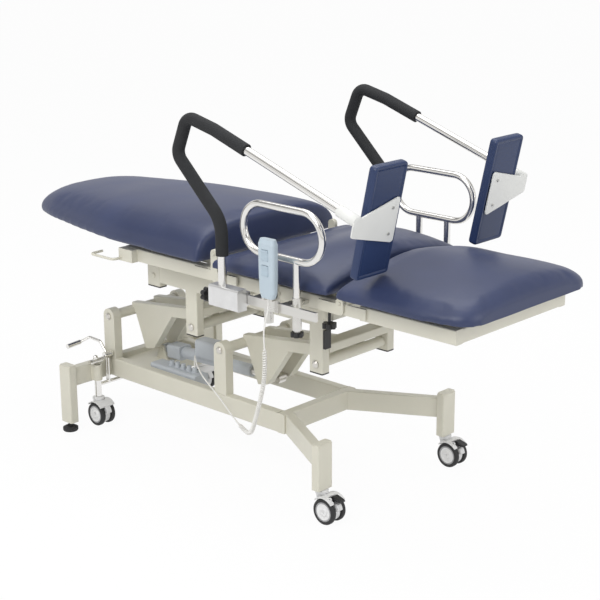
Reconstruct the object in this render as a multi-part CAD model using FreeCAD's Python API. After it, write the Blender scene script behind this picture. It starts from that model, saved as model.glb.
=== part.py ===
import FreeCAD, Part
import math
import os

# Electric examination table with leg holders.  Millimetres, +Z up, +X towards the feet,
# -Y the operator's side.  The origin lies on the floor under the middle of the table.

V = FreeCAD.Vector
UP = V(0, 0, 1)
NEAR, FAR = -1.0, 1.0
SIDES = ((NEAR, "near"), (FAR, "far"))

# ---------------------------------------------------------------- driving dimensions
TUBE_T = 30.0            # thin side of every frame tube
TUBE_W = 50.0            # wide side of uprights, hanging posts and upper rails
TUBE_H = 60.0            # height of the base tubes
TUBE_R = 4.0             # corner radius of the frame tubes
BASE_Z = 146.0           # underside of the base tubes
RAIL_Y = 140.0           # middle of the base rails, uprights and upper rails
HEAD_X = -610.0          # head crossbar and end posts
HEAD_POST_Y = 316.0
HEAD_POST_TOP = 214.0
FOOT_X = 162.0           # foot crossbar
CASTER_X = 430.0         # braked casters: swivel axis
CASTER_Y = 272.0
CASTER_POST_Z = (92.0, 222.0)
PIVOT_Z = 343.0          # lower pivots of the lift arms
PIVOT_X = (-596.0, -88.0)
ARM_DX, ARM_DZ = 388.0, 46.0
ARM_MAX_DEG = 40.0
SHAFT_R = 10.0
RUN_FIT = 0.05           # radial clearance of running fits
ARM_Y = (32.0, 60.0)     # inner and outer face of each arm side
UPPER_Z = (500.0, 552.0)
DECK_Z = (584.0, 624.0)  # tubes that carry the pads
PAD_Z = 640.0            # underside of every pad
PAD_HALF = 300.0
DECK_Y = PAD_HALF - 75.0  # tubes that carry the pads, set in from the pad edge
BACK_HINGE = (0.0, 672.0)
LEG_HINGE = (475.0, 622.0)
BACK_PAD_X = (-920.0, -20.0)
SEAT_PAD_X = (20.0, 470.0)
LEG_PAD_X = (480.0, 920.0)
WHEEL_R = 37.5
TRAIL = 28.0             # swivel axis to wheel axle, braked casters
LIFTER_TRAIL = 12.0
LIFTER_X = -581.0        # parked casters at the head end
LIFTER_Y = 222.0
LIFTER_GAP = 6.0         # height of the parked casters above the floor
LOOP_Y = PAD_HALF + 18.0  # plane of the grip loops, clear of the pads
SIDE_RAIL_Y = (LOOP_Y + 12.0, LOOP_Y + 20.0)
SIDE_RAIL_Z = (588.0, 613.0)
SIDE_RAIL_X = (100.0, 470.0)
STIRRUP_X = 139.0
STIRRUP_Y = SIDE_RAIL_Y[1] + 14.0
CLAMP_KNOB_R = 20.0
CLAMP_KNOB_Y = SIDE_RAIL_Y[1] + CLAMP_KNOB_R + 2.0  # the knob passes outside the rail
CLAMP_KNOB_Z = 594.0
LOOP_X = 332.0
LOOP_MIDDLE_Z = 800.0
SOCKET_Z = (545.0, 634.0)
SOCKET_FLOOR = SOCKET_Z[0] + 11.0
CORD_R = 2.5
COIL_R = 7.0

# ---------------------------------------------------------------- pins, stems and screws
FOOT_STEM_R = 6.0
CASTER_STEM_R = 6.0
PLUNGER_R = 11.0
AXLE_R = 4.0
PIN_R = 6.0
HINGE_R = 5.0
KNOB_SCREW_R = 4.0
BRAKE_PIN = (18.0, 39.0)  # brake hinge from the wheel axle, along X and Z
BRAKE_PIN_R = 2.6

# ---------------------------------------------------------------- base, actuator and control box
HUB = V(-582, -180, 226)   # pivot of the foot pedal
HUB_HALF = 12.0
HUB_PIN_R = 4.0
LINK_Z = 134.0           # cross rod that joins the two plungers, under the base rails
TRAY_X = (-595.0, -455.0)
TRAY_Z = (186.0, 190.0)
ACTUATOR_REAR = V(-500, 0, 222)
ACTUATOR_TIP = V(PIVOT_X[1] + 95, 0, PIVOT_Z - 104)
CONTROL_X = (-440.0, -235.0)
CONTROL_Y = (-122.0, -66.0)
CONTROL_Z = (160.0, 216.0)
SOCKET_COUNT = 5
TAIL_END = V(CONTROL_X[1] - 30, -94, CONTROL_Z[1] + 16)
BEAM_LIFT = 9.0
BEAM_H = 36.0

# ---------------------------------------------------------------- upper frame and sections
HANG_X = (PIVOT_X[0] + ARM_DX, PIVOT_X[1] + ARM_DX)
UPPER_X = (HANG_X[0] - 137.0, HANG_X[1] + 30.0)
HANG_Z = PIVOT_Z + ARM_DZ
SEAT_TUBE_X = (26.0, 452.0)
BACK_TUBE_X = (-400.0, -26.0)
LEG_TUBE_X = (535.0, 850.0)
EAR_T = 6.0
EAR_R = 13.0
PAD_RIM = 16.0
LEG_KNOB = V(415, -DECK_Y, DECK_Z[0] - 28)

# ---------------------------------------------------------------- grip loops and leg holders
SOCKET_R = 12.5
LOOP_R = 10.0
LOOP_POSTS = (LOOP_X - 52, LOOP_X + 52)
LOOP_HALF = (143.0, 67.0)
STIRRUP_R = 12.0
FOAM_R = 17.5
STIRRUP_PATH = ((STIRRUP_X, 575), (STIRRUP_X, 806), (STIRRUP_X - 169, 968), (STIRRUP_X - 125, 1076),
                (STIRRUP_X - 21, 1052), (STIRRUP_X + 462, 890))
STIRRUP_BENDS = (92.0, 34.0, 34.0, 60.0)
FOAM_END_X = STIRRUP_X + 99
PLATE_TILT = math.atan2(67, 303)
PLATE_MIDDLE = (STIRRUP_X + 465, 866.0)
PLATE_SIZE = (26.0, 128.0, 310.0)
PLATE_Y = PAD_HALF - 52.0

# ---------------------------------------------------------------- handset and the routes of its cord
HANDSET_X = (291.0, 350.0)
HANDSET_Y = (-SIDE_RAIL_Y[1] - 34.0, -SIDE_RAIL_Y[1] - 8.0)
HANDSET_Z = (630.0, 790.0)
HOOK_Y = HANDSET_Y[1] + 0.8
HANDSET_MIDDLE_X = sum(HANDSET_X) / 2
HANDSET_MIDDLE_Y = sum(HANDSET_Y) / 2
BUTTON_Z = (HANDSET_Z[1] - 42.0, HANDSET_Z[1] - 84.0)
ROCKER_HALF = 12.0
ROCKER_PIN_R = 1.5
ROCKER_PIN_Y = HANDSET_Y[0] + 3.0
LEAD_ROUTE = (V(HANDSET_MIDDLE_X, HANDSET_MIDDLE_Y, HANDSET_Z[0]),
              V(HANDSET_MIDDLE_X, HANDSET_MIDDLE_Y, 598), V(309, -368.5, 545), V(303, -360, 492))
COIL_ROUTE = (LEAD_ROUTE[-1], V(296, -350, 430), V(272, -336, 360), V(236, -318, 290),
              V(196, -296, 226), V(150, -262, 176), V(96, -230, 152), V(44, -212, 164))
TAIL_ROUTE = (COIL_ROUTE[-1], V(4, -198.2, 173.2), V(-36, -193, 200), V(-84, -187, 228),
              V(-140, -178, 254), V(-192, -152, 272), V(-232, -122, 283), V(-254, -103, 275),
              V(TAIL_END.x, TAIL_END.y, 255), TAIL_END)

os.makedirs("parts", exist_ok=True)


# ---------------------------------------------------------------- shared operations
def save(name, shape):
    """Write one node as a STEP file."""
    shape = shape.removeSplitter()
    if not shape.isValid() or shape.Volume <= 0:
        raise ValueError(name + " is not a sound solid")
    shape.exportStep("parts/" + name + ".step")


def box(x, y, z):
    """Box between pairs of limits."""
    low = V(min(x), min(y), min(z))
    return Part.makeBox(max(x) - low.x, max(y) - low.y, max(z) - low.z, low)


def span(middle, size):
    """Limits of a length centred on middle."""
    return (middle - size / 2, middle + size / 2)


def mirror_y(limits, side):
    """Limits on the chosen side of the middle plane."""
    return (side * limits[0], side * limits[1])


def rod(start, end, radius):
    """Round bar between two points."""
    axis = end.sub(start)
    return Part.makeCylinder(radius, axis.Length, start, axis)


def fuse(shapes):
    """One solid from touching or overlapping solids."""
    first, rest = shapes[0], list(shapes[1:])
    return first.fuse(rest) if rest else first


def rounded_rect(width, height, radius):
    """Closed wire in the XY plane, centred on the origin."""
    a, b, r = width / 2, height / 2, radius
    k = r * (1 - math.sqrt(0.5))
    corners = ((1, 1), (-1, 1), (-1, -1), (1, -1))
    edges = []
    for index, (sx, sy) in enumerate(corners):
        start, end = V(sx * a, sy * (b - r), 0), V(sx * (a - r), sy * b, 0)
        if sx * sy < 0:
            start, end = end, start
        middle = V(sx * (a - k), sy * (b - k), 0)
        edges.append(Part.Arc(start, middle, end).toShape())
        nx, ny = corners[(index + 1) % 4]
        if sx != nx:
            following = V(nx * (a - r), ny * b, 0)
        else:
            following = V(nx * a, ny * (b - r), 0)
        edges.append(Part.makeLine(end, following))
    return Part.Wire(edges)


def bar(start, end, across, upright, radius=TUBE_R):
    """Rectangular tube section between two points; `upright` is its height along Z."""
    axis = end.sub(start)
    side = UP.cross(axis)
    side = side.normalize() if side.Length > 1e-6 else V(0, 1, 0)
    normal = V(axis).normalize()
    top = normal.cross(side)
    place = FreeCAD.Matrix(side.x, top.x, normal.x, start.x, side.y, top.y, normal.y, start.y,
                           side.z, top.z, normal.z, start.z, 0, 0, 0, 1)
    solid = Part.Face(rounded_rect(across, upright, radius)).extrude(V(0, 0, axis.Length))
    solid.Placement = FreeCAD.Placement(place)
    return solid


def post(x, y, z, size_x, size_y, radius=TUBE_R):
    """Vertical rectangular tube section."""
    face = Part.Face(rounded_rect(size_x, size_y, radius))
    face.translate(V(x, y, z[0]))
    return face.extrude(V(0, 0, z[1] - z[0]))


def plate_xz(points, y):
    """Plate with an XZ outline between two Y planes."""
    corners = [V(px, y[0], pz) for px, pz in points]
    face = Part.Face(Part.makePolygon(corners + corners[:1]))
    return face.extrude(V(0, y[1] - y[0], 0))


def filleted_path(points, bends):
    """Straight runs joined by tangent arcs; bends holds one radius per inner point."""
    edges, start = [], points[0]
    for index, radius in enumerate(bends):
        before, corner, after = points[index:index + 3]
        into = before.sub(corner).normalize()
        out = after.sub(corner).normalize()
        half = into.getAngle(out) / 2
        reach = radius / math.tan(half)
        entry, leave = corner + into * reach, corner + out * reach
        bisector = (into + out).normalize()
        middle = corner + bisector * (radius / math.sin(half) - radius)
        if entry.sub(start).Length > 1e-6:
            edges.append(Part.makeLine(start, entry))
        edges.append(Part.Arc(entry, middle, leave).toShape())
        start = leave
    edges.append(Part.makeLine(start, points[-1]))
    return Part.Wire(edges)


def bent_rod(points, bends, radius):
    """Round bar along a filleted path."""
    path = filleted_path(points, bends)
    tangent = points[1].sub(points[0])
    profile = Part.Wire(Part.makeCircle(radius, points[0], tangent))
    return path.makePipeShell([profile], True, True)


def revolved(outline, centre, axis):
    """Solid of revolution: outline holds (distance along axis, radius) pairs."""
    points = [V(r, 0, h) for h, r in outline]
    face = Part.Face(Part.makePolygon(points + points[:1]))
    solid = face.revolve(V(0, 0, 0), UP, 360)
    solid.Placement = FreeCAD.Placement(centre, FreeCAD.Rotation(UP, axis))
    return solid


def star_knob(centre, axis, radius, depth):
    """Lobed hand knob whose back face is at centre, growing along axis."""
    lobes, lobe_r = 6, radius * 0.34
    body = Part.makeCylinder(radius * 0.72, depth, V(0, 0, 0))
    for index in range(lobes):
        angle = 2 * math.pi * index / lobes
        reach = radius - lobe_r
        seat = V(reach * math.cos(angle), reach * math.sin(angle), 0)
        body = body.fuse(Part.makeCylinder(lobe_r, depth, seat))
    hub = Part.makeCone(radius * 0.42, radius * 0.3, depth * 0.35, V(0, 0, depth))
    body = body.fuse(hub).removeSplitter()
    body.Placement = FreeCAD.Placement(centre, FreeCAD.Rotation(UP, axis))
    return body


def bolt_head(centre, axis, radius=11.0, height=6.0):
    """Domed round bolt head standing on centre."""
    outline = ((0, 0), (0, radius), (height * 0.5, radius), (height, radius * 0.6), (height, 0))
    return revolved(outline, centre, axis)


# ---------------------------------------------------------------- base
def upright(x, side):
    """Upright welded on the base rail, round at the top and bored for the shaft."""
    y = span(side * RAIL_Y, TUBE_T)
    half = TUBE_W / 2
    low = BASE_Z + TUBE_H
    shank = box(span(x, TUBE_W), y, (low, PIVOT_Z))
    head = rod(V(x, y[0], PIVOT_Z), V(x, y[1], PIVOT_Z), half)
    bore = rod(V(x, y[0] - 1, PIVOT_Z), V(x, y[1] + 1, PIVOT_Z), SHAFT_R + RUN_FIT)
    return shank.fuse(head).cut(bore)


def base_side(side):
    """One base rail with its two uprights."""
    middle = BASE_Z + TUBE_H / 2
    start = V(HEAD_X + TUBE_T / 2, side * RAIL_Y, middle)
    end = V(FOOT_X - TUBE_T / 2, side * RAIL_Y, middle)
    rail = bar(start, end, TUBE_T, TUBE_H)
    return fuse([rail] + [upright(x, side) for x in PIVOT_X])


def head_frame():
    """Head crossbar with an end post and its plug at each end."""
    middle = BASE_Z + TUBE_H / 2
    reach = HEAD_POST_Y - TUBE_T / 2
    shape = bar(V(HEAD_X, -reach, middle), V(HEAD_X, reach, middle), TUBE_T, TUBE_H)
    for side, _ in SIDES:
        y = side * HEAD_POST_Y
        shape = shape.fuse(post(HEAD_X, y, (30.0, HEAD_POST_TOP), TUBE_W, TUBE_T))
        cap = post(HEAD_X, y, (HEAD_POST_TOP, HEAD_POST_TOP + 4), TUBE_W - 2, TUBE_T - 2, 5.0)
        shape = shape.fuse(cap)
        shape = shape.cut(rod(V(HEAD_X, y, 29), V(HEAD_X, y, 90), FOOT_STEM_R + RUN_FIT))
        y = side * LIFTER_Y
        face = HEAD_X + TUBE_T / 2
        guide = rod(V(LIFTER_X, y, 152), V(LIFTER_X, y, 202), PLUNGER_R + 4)
        guide = guide.common(box((face, face + 60), span(y, 60.0), (150, 204)))
        saddle = box((face, LIFTER_X), span(y, 2 * PLUNGER_R + 8), (152, 202))
        bore = rod(V(LIFTER_X, y, 140), V(LIFTER_X, y, 210), PLUNGER_R + RUN_FIT)
        bore = bore.common(box((face + 0.4, face + 60), span(y, 60.0), (150, 204)))
        shape = shape.fuse([guide, saddle]).cut(bore)
    top = BASE_Z + TUBE_H
    ear = [(HUB.x - 34, top), (HUB.x - 13, top), (HUB.x + 9, HUB.z), (HUB.x - 8, HUB.z + 6)]
    cheek_y = (HUB.y + HUB_HALF + 0.5, HUB.y + HUB_HALF + 7.5)
    cheek = plate_xz(ear, cheek_y)
    boss = rod(V(HUB.x, cheek_y[0], HUB.z), V(HUB.x, cheek_y[1], HUB.z), 9)
    pin = rod(V(HUB.x, cheek_y[1], HUB.z), V(HUB.x, HUB.y - 5, HUB.z), HUB_PIN_R)
    shape = fuse([shape, cheek, boss, pin])
    return shape


def levelling_foot(side):
    """Swivelling levelling foot: rubber pad, nut and threaded stem."""
    outline = ((0, 0), (0, 22), (3, 24), (11, 24), (15, 17), (15, 10), (19, 10), (19, FOOT_STEM_R),
               (82, FOOT_STEM_R), (82, 0))
    return revolved(outline, V(HEAD_X, side * HEAD_POST_Y, 0), UP)


def foot_frame():
    """Foot crossbar with two splayed outriggers and the caster posts."""
    middle = BASE_Z + TUBE_H / 2
    reach = RAIL_Y + TUBE_T / 2
    shape = bar(V(FOOT_X, -reach, middle), V(FOOT_X, reach, middle), TUBE_T, TUBE_H)
    post_x, post_y = 27.0, 57.0
    for side, _ in SIDES:
        start = V(FOOT_X - 4, side * (RAIL_Y - 17), middle)
        end = V(CASTER_X - 4, side * CASTER_Y, middle)
        shape = shape.fuse(bar(start, end, TUBE_T, TUBE_H))
        column = post(CASTER_X, side * CASTER_Y, CASTER_POST_Z, post_x, post_y)
        top = (CASTER_POST_Z[1], CASTER_POST_Z[1] + 4)
        cap = post(CASTER_X, side * CASTER_Y, top, post_x - 2, post_y - 2, 5.0)
        shape = shape.fuse([column, cap])
        seat = (CASTER_POST_Z[0] - 1, CASTER_POST_Z[0] + 40)
        stem = rod(V(CASTER_X, side * CASTER_Y, seat[0]), V(CASTER_X, side * CASTER_Y, seat[1]),
                   CASTER_STEM_R + RUN_FIT)
        shape = shape.cut(stem)
    return shape


def cross_tray():
    """Folded cross tray between the rails with the clevis of the lift actuator."""
    reach = RAIL_Y - TUBE_T / 2
    floor = box(TRAY_X, (-reach, reach), TRAY_Z)
    lips = [box((x, x + 4), (-reach, reach), (150, TRAY_Z[1])) for x in (TRAY_X[0], TRAY_X[1] - 4)]
    shape = fuse([floor] + lips)
    x, z = ACTUATOR_REAR.x, ACTUATOR_REAR.z
    ear = [(x - 26, TRAY_Z[1]), (x + 26, TRAY_Z[1]), (x + 13, z), (x - 13, z)]
    for side, _ in SIDES:
        y = mirror_y((15.0, 21.0), side)
        shape = shape.fuse(plate_xz(ear, y))
        shape = shape.fuse(rod(V(x, y[0], z), V(x, y[1], z), 13))
    pin = rod(V(x, -24, z), V(x, 24, z), PIN_R)
    return shape.fuse(pin)


def control_box():
    """Control box hung beside the actuator, with a row of plug sockets and a mains inlet."""
    width = CONTROL_Y[1] - CONTROL_Y[0]
    middle_y = sum(CONTROL_Y) / 2
    middle_z = sum(CONTROL_Z) / 2
    height = CONTROL_Z[1] - CONTROL_Z[0]
    start, end = V(CONTROL_X[0], middle_y, middle_z), V(CONTROL_X[1], middle_y, middle_z)
    shape = bar(start, end, width, height, 8.0)
    pitch = 26.0
    for index in range(SOCKET_COUNT):
        x = TAIL_END.x - pitch * index
        foot = V(x, TAIL_END.y, CONTROL_Z[1] - 2)
        shape = shape.fuse([rod(foot, foot + UP * 8, 10), rod(foot, foot + UP * 18, 7.5)])
    inlet = box((CONTROL_X[0] - 9, CONTROL_X[0] + 1), span(middle_y, 30), span(middle_z, 22))
    recess = box((CONTROL_X[0] - 10, CONTROL_X[0] - 4), span(middle_y, 22), span(middle_z, 15))
    hanger_x = (CONTROL_X[0] + 40, CONTROL_X[1] - 60)
    shape = shape.fuse(inlet).cut(recess)
    for x in hanger_x:
        hanger = box((x, x + 20), (CONTROL_Y[0] - 3, CONTROL_Y[0] + 1), (168, 206))
        shape = shape.fuse(hanger)
    return shape


def shaft(x, z, reach):
    """Pivot shaft across the frame with a domed head on each end."""
    shape = rod(V(x, -reach, z), V(x, reach, z), SHAFT_R)
    for side, _ in SIDES:
        shape = shape.fuse(bolt_head(V(x, side * reach, z), V(0, side, 0)))
    return shape


def base_shafts():
    """Lower pivot shafts of both lift arms."""
    reach = RAIL_Y + TUBE_T / 2 + 0.5
    return Part.makeCompound([shaft(x, PIVOT_Z, reach) for x in PIVOT_X])


# ---------------------------------------------------------------- casters
def caster_housing(x, y, trail, lift, braked):
    """Hooded twin-wheel fork: stem, swivel head, central web, hood and axle."""
    cx, cz = x + trail, WHEEL_R + lift
    top = CASTER_POST_Z[0] + lift
    stem = rod(V(x, y, top - 4), V(x, y, top + 36), CASTER_STEM_R)
    head = revolved(((0, 0), (0, 17), (4, 19), (9, 19), (12, 13), (12, 0)), V(x, y, top - 13), UP)
    web_y = span(y, 18.0)
    web = rod(V(cx, web_y[0], cz), V(cx, web_y[1], cz), 31)
    neck = plate_xz([(x - 15, top - 12), (x + 17, top - 12), (cx + 22, cz + 20), (cx - 34, cz + 8)],
                    web_y)
    hood_y = span(y, 58.0)
    hood = rod(V(cx, hood_y[0], cz), V(cx, hood_y[1], cz), WHEEL_R + 6)
    hood = hood.cut(rod(V(cx, hood_y[0] - 1, cz), V(cx, hood_y[1] + 1, cz), WHEEL_R + 2.5))
    hood = hood.common(box((cx - 30, cx + 30), hood_y, (cz + 27, cz + 60)))
    hood_web = rod(V(cx, web_y[0], cz), V(cx, web_y[1], cz), WHEEL_R + 4)
    hood_web = hood_web.common(box((cx - 40, cx + 40), web_y, (cz + 8, cz + 60)))
    axle = rod(V(cx, y - 27, cz), V(cx, y + 27, cz), AXLE_R)
    shape = fuse([head, stem, web, neck, hood, hood_web, axle])
    if braked:
        slot = box((cx + 8, cx + 60), span(y, 30.0), (cz + 24, cz + 70))
        shape = shape.cut(slot).fuse(axle)
        px, pz = cx + BRAKE_PIN[0], cz + BRAKE_PIN[1]
        for side, _ in SIDES:
            near, far = y + side * 15, y + side * 19
            shape = shape.fuse(rod(V(px, near, pz), V(px, far, pz), 5))
            shape = shape.cut(rod(V(px, near, pz), V(px, far + side * 0.1, pz), BRAKE_PIN_R + RUN_FIT))
    return shape


def caster_wheels(x, y, trail, lift):
    """Twin wheels on one axle: rounded tyre, dished disc and hub."""
    cx, cz = x + trail, WHEEL_R + lift
    inner, outer = 11.0, 28.0
    bore = AXLE_R + RUN_FIT
    wheels = []
    for side in (NEAR, FAR):
        outline = ((inner, bore), (inner, 30), (inner + 1, WHEEL_R - 3), (inner + 5, WHEEL_R),
                   (outer - 5, WHEEL_R), (outer - 1, WHEEL_R - 3), (outer, 28), (outer - 4, 25),
                   (outer - 4, 12), (outer, 10), (outer, bore))
        wheels.append(revolved(outline, V(cx, y, cz), V(0, side, 0)))
    return Part.makeCompound(wheels)


def brake_lever(x, y):
    """Foot lever of the total lock, hinged on a pin between the hood halves."""
    cx, cz = x + TRAIL, WHEEL_R
    profile = [(cx + 14, cz + 29), (cx + 13, cz + 43), (cx + 19, cz + 47), (cx + 46, cz + 40),
               (cx + 49, cz + 35), (cx + 26, cz + 36), (cx + 23, cz + 30)]
    px, pz = cx + BRAKE_PIN[0], cz + BRAKE_PIN[1]
    pin = rod(V(px, y - 18.8, pz), V(px, y + 18.8, pz), BRAKE_PIN_R)
    return plate_xz(profile, span(y, 20.0)).fuse(pin)


# ---------------------------------------------------------------- head-end caster lift


def caster_lift():
    """Two plungers over the parked casters, their cross rod and the twin push rods."""
    link = rod(V(LIFTER_X, -LIFTER_Y, LINK_Z), V(LIFTER_X, LIFTER_Y, LINK_Z), 6)
    shapes = [link]
    low = CASTER_POST_Z[0] + LIFTER_GAP
    for side, _ in SIDES:
        y = side * LIFTER_Y
        shapes.append(rod(V(LIFTER_X, y, low), V(LIFTER_X, y, 178), PLUNGER_R))
    for offset in (-4.5, 6.5):
        x = HUB.x + offset
        shapes.append(rod(V(x, HUB.y, LINK_Z), V(x, HUB.y, HUB.z - 11), 3.5))
    shape = fuse(shapes)
    for side, _ in SIDES:
        y = side * LIFTER_Y
        shape = shape.cut(rod(V(LIFTER_X, y, low - 1), V(LIFTER_X, y, low + 38),
                              CASTER_STEM_R + RUN_FIT))
    return shape


def lift_pedal():
    """Foot pedal: cranked bar with a tread at each end, turning on a cross hub."""
    x, y, z = HUB
    hub = rod(V(x, y - HUB_HALF, z), V(x, y + HUB_HALF, z), 9)
    bore = rod(V(x, y - 5.5, z), V(x, y + HUB_HALF + 1, z), HUB_PIN_R + RUN_FIT)
    crank = bent_rod([HUB, V(x - 32, y, z + 36), V(x - 84, y, z + 38), V(x - 128, y, z + 14),
                      V(x - 128, y - 48, z + 10)], (16, 24, 12), 5)
    tread = rod(V(x - 128, y - 6, z + 13), V(x - 128, y - 56, z + 9.6), 8)
    arm = bent_rod([HUB, V(x + 7, y - 20, z - 8), V(x + 7, y - 72, z - 9)], (8,), 5)
    tread_b = rod(V(x + 7, y - 26, z - 8.1), V(x + 7, y - 76, z - 9), 7)
    ball = Part.makeSphere(8, V(x + 7, y - 52, z + 3))
    return fuse([hub, crank, tread, arm, tread_b, ball]).cut(bore)


# ---------------------------------------------------------------- lift arms and actuator


def lift_arm(x):
    """Lift arm: two cross tubes, two beams and two hanging gussets."""
    far = V(x + ARM_DX, 0, PIVOT_Z + ARM_DZ)
    reach = RAIL_Y - TUBE_T / 2 - 1
    near = V(x, 0, PIVOT_Z)
    shapes = []
    for centre in (near, far):
        shapes.append(rod(centre + V(0, -reach, 0), centre + V(0, reach, 0), 16))
    slope = math.atan2(ARM_DZ, ARM_DX)
    along, over = V(math.cos(slope), 0, math.sin(slope)), V(-math.sin(slope), 0, math.cos(slope))
    length = math.hypot(ARM_DX, ARM_DZ)
    gusset = [(22, -8), (64, -116), (103, -108), (190, 12), (190, 30), (22, 12)]
    for side, _ in SIDES:
        y = side * sum(ARM_Y) / 2
        start = near + over * BEAM_LIFT + along * 6 + V(0, y, 0)
        end = start + along * (length - 12)
        shapes.append(bar(start, end, ARM_Y[1] - ARM_Y[0], BEAM_H))
        outline = [(x + px, PIVOT_Z + pz) for px, pz in gusset]
        shapes.append(plate_xz(outline, mirror_y(ARM_Y, side)))
    arm = fuse(shapes)
    for centre in (near, far):
        arm = arm.cut(rod(centre + V(0, -reach - 1, 0), centre + V(0, reach + 1, 0),
                          SHAFT_R + RUN_FIT))
    return arm


def actuator_frame():
    """Unit vector along the actuator and its length at rest."""
    axis = ACTUATOR_TIP.sub(ACTUATOR_REAR)
    length = axis.Length
    return axis.normalize(), length


def actuator_housing():
    """Actuator: rear eye, gear case, motor on top and outer tube."""
    axis, _ = actuator_frame()
    rear = ACTUATOR_REAR
    eye = rod(rear + V(0, -14, 0), rear + V(0, 14, 0), 14)
    neck = bar(rear + axis * 4, rear + axis * 36, 24, 22)
    case = bar(rear + axis * 32, rear + axis * 90, 52, 46, 9.0)
    tube_end = rear + axis * 395
    outer = rod(rear + axis * 80, tube_end, 19)
    motor_low = rear + axis * 165
    motor = bar(motor_low + V(0, 0, 32), motor_low + axis * 92 + V(0, 0, 32), 54, 62, 12.0)
    shape = fuse([eye, neck, case, outer, motor])
    bore = rod(rear + axis * 110, tube_end + axis, 12 + RUN_FIT)
    hole = rod(rear + V(0, -15, 0), rear + V(0, 15, 0), PIN_R + RUN_FIT)
    return shape.cut(bore).cut(hole)


def actuator_rod():
    """Piston rod with its eye and the cross pin that seats between the gussets."""
    axis, length = actuator_frame()
    tip = ACTUATOR_TIP
    piston = rod(ACTUATOR_REAR + axis * 200, tip - axis * 10, 12)
    eye = rod(tip + V(0, -15, 0), tip + V(0, 15, 0), 16)
    pin = rod(tip + V(0, -ARM_Y[0] + 1, 0), tip + V(0, ARM_Y[0] - 1, 0), PIN_R)
    return fuse([piston, eye, pin])


# ---------------------------------------------------------------- upper frame


def upper_side(side):
    """Upper rail with two hanging posts and the short head bracket."""
    y = side * RAIL_Y
    middle = sum(UPPER_Z) / 2
    height = UPPER_Z[1] - UPPER_Z[0]
    rail = bar(V(UPPER_X[0], y, middle), V(UPPER_X[1], y, middle), TUBE_T, height)
    shapes = [rail]
    for x in HANG_X:
        shapes.append(post(x, y, (HANG_Z - 24, UPPER_Z[0] + 6), TUBE_W, TUBE_T))
    shapes.append(post(UPPER_X[0] - 28, y, (488, UPPER_Z[1] + 4), 56, TUBE_T))
    shape = fuse(shapes)
    for x in HANG_X:
        shape = shape.cut(rod(V(x, y - 20, HANG_Z), V(x, y + 20, HANG_Z), SHAFT_R + RUN_FIT))
    return shape.fuse(bolt_head(V(UPPER_X[0] - 28, y + side * TUBE_T / 2, 520), V(0, side, 0), 8, 4))


def hinge_ear(hinge, root_x, y, bored):
    """Strap that runs along a deck tube and turns up to a hinge axis."""
    x, z = hinge
    sign = 1 if root_x > x else -1
    low, high = DECK_Z[0] + 6, DECK_Z[1] - 4
    near_x, far_x = x + sign * EAR_R, x - sign * EAR_R
    outline = [(root_x, low), (root_x, high), (near_x, high), (near_x, z), (far_x, z),
               (far_x, low + 8), (x - sign * 5, low)]
    plate = plate_xz(outline, y)
    plate = plate.fuse(rod(V(x, y[0], z), V(x, y[1], z), EAR_R))
    if bored:
        plate = plate.cut(rod(V(x, min(y) - 1, z), V(x, max(y) + 1, z), HINGE_R + RUN_FIT))
    return plate


def upper_cross():
    """Crossbars, seat tubes with hinge ears, and the upper pivot shafts."""
    inner = RAIL_Y - TUBE_T / 2
    shapes = []
    for x in HANG_X:
        shapes.append(bar(V(x, -inner, 432), V(x, inner, 432), TUBE_W, 26))
    deck_y = DECK_Y - TUBE_T / 2
    middle = sum(DECK_Z) / 2
    for x in (60.0, 240.0, 396.0):
        shapes.append(bar(V(x, -deck_y, 568), V(x, deck_y, 568), 40, 32))
        shapes.append(bar(V(x, -deck_y - 4, middle), V(x, deck_y + 4, middle), 40, 40))
    for side, _ in SIDES:
        y = side * DECK_Y
        shapes.append(bar(V(SEAT_TUBE_X[0], y, middle), V(SEAT_TUBE_X[1], y, middle), TUBE_T, 40))
        outer = DECK_Y + TUBE_T / 2
        ear_y = mirror_y((outer + EAR_T + 1, outer + 2 * EAR_T + 1), side)
        for hinge, root in ((BACK_HINGE, 90.0), (LEG_HINGE, 400.0)):
            shapes.append(hinge_ear(hinge, root, ear_y, True))
            boss = span((root + (hinge[0] + root) / 2) / 2, 24)
            shapes.append(box(boss, mirror_y((outer - 1, outer + EAR_T + 2), side), (592, 616)))
    shapes.append(box((40, 450), (-deck_y, deck_y), (DECK_Z[1], PAD_Z)))
    screw_hole = rod(V(LEG_KNOB.x, LEG_KNOB.y, DECK_Z[0] - 1), V(LEG_KNOB.x, LEG_KNOB.y, DECK_Z[0] + 15),
                     KNOB_SCREW_R + RUN_FIT)
    return fuse(shapes).cut(screw_hole)


def upper_shafts():
    """Upper pivot shafts of both lift arms."""
    reach = RAIL_Y + TUBE_T / 2 + 0.5
    return Part.makeCompound([shaft(x, HANG_Z, reach) for x in HANG_X])


def upper_caps():
    """Black end caps of the hanging posts and head brackets, and two rubber stops."""
    caps = []
    for side, _ in SIDES:
        y = side * RAIL_Y
        for x in HANG_X:
            caps.append(post(x, y, (HANG_Z - 28, HANG_Z - 24), TUBE_W, TUBE_T))
        caps.append(post(UPPER_X[0] - 28, y, (484, 488), 56, TUBE_T))
        face_x = HANG_X[1] + TUBE_W / 2
        caps.append(box((face_x, face_x + 8), span(y, 24.0), (438, 492)))
    return Part.makeCompound(caps)


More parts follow.
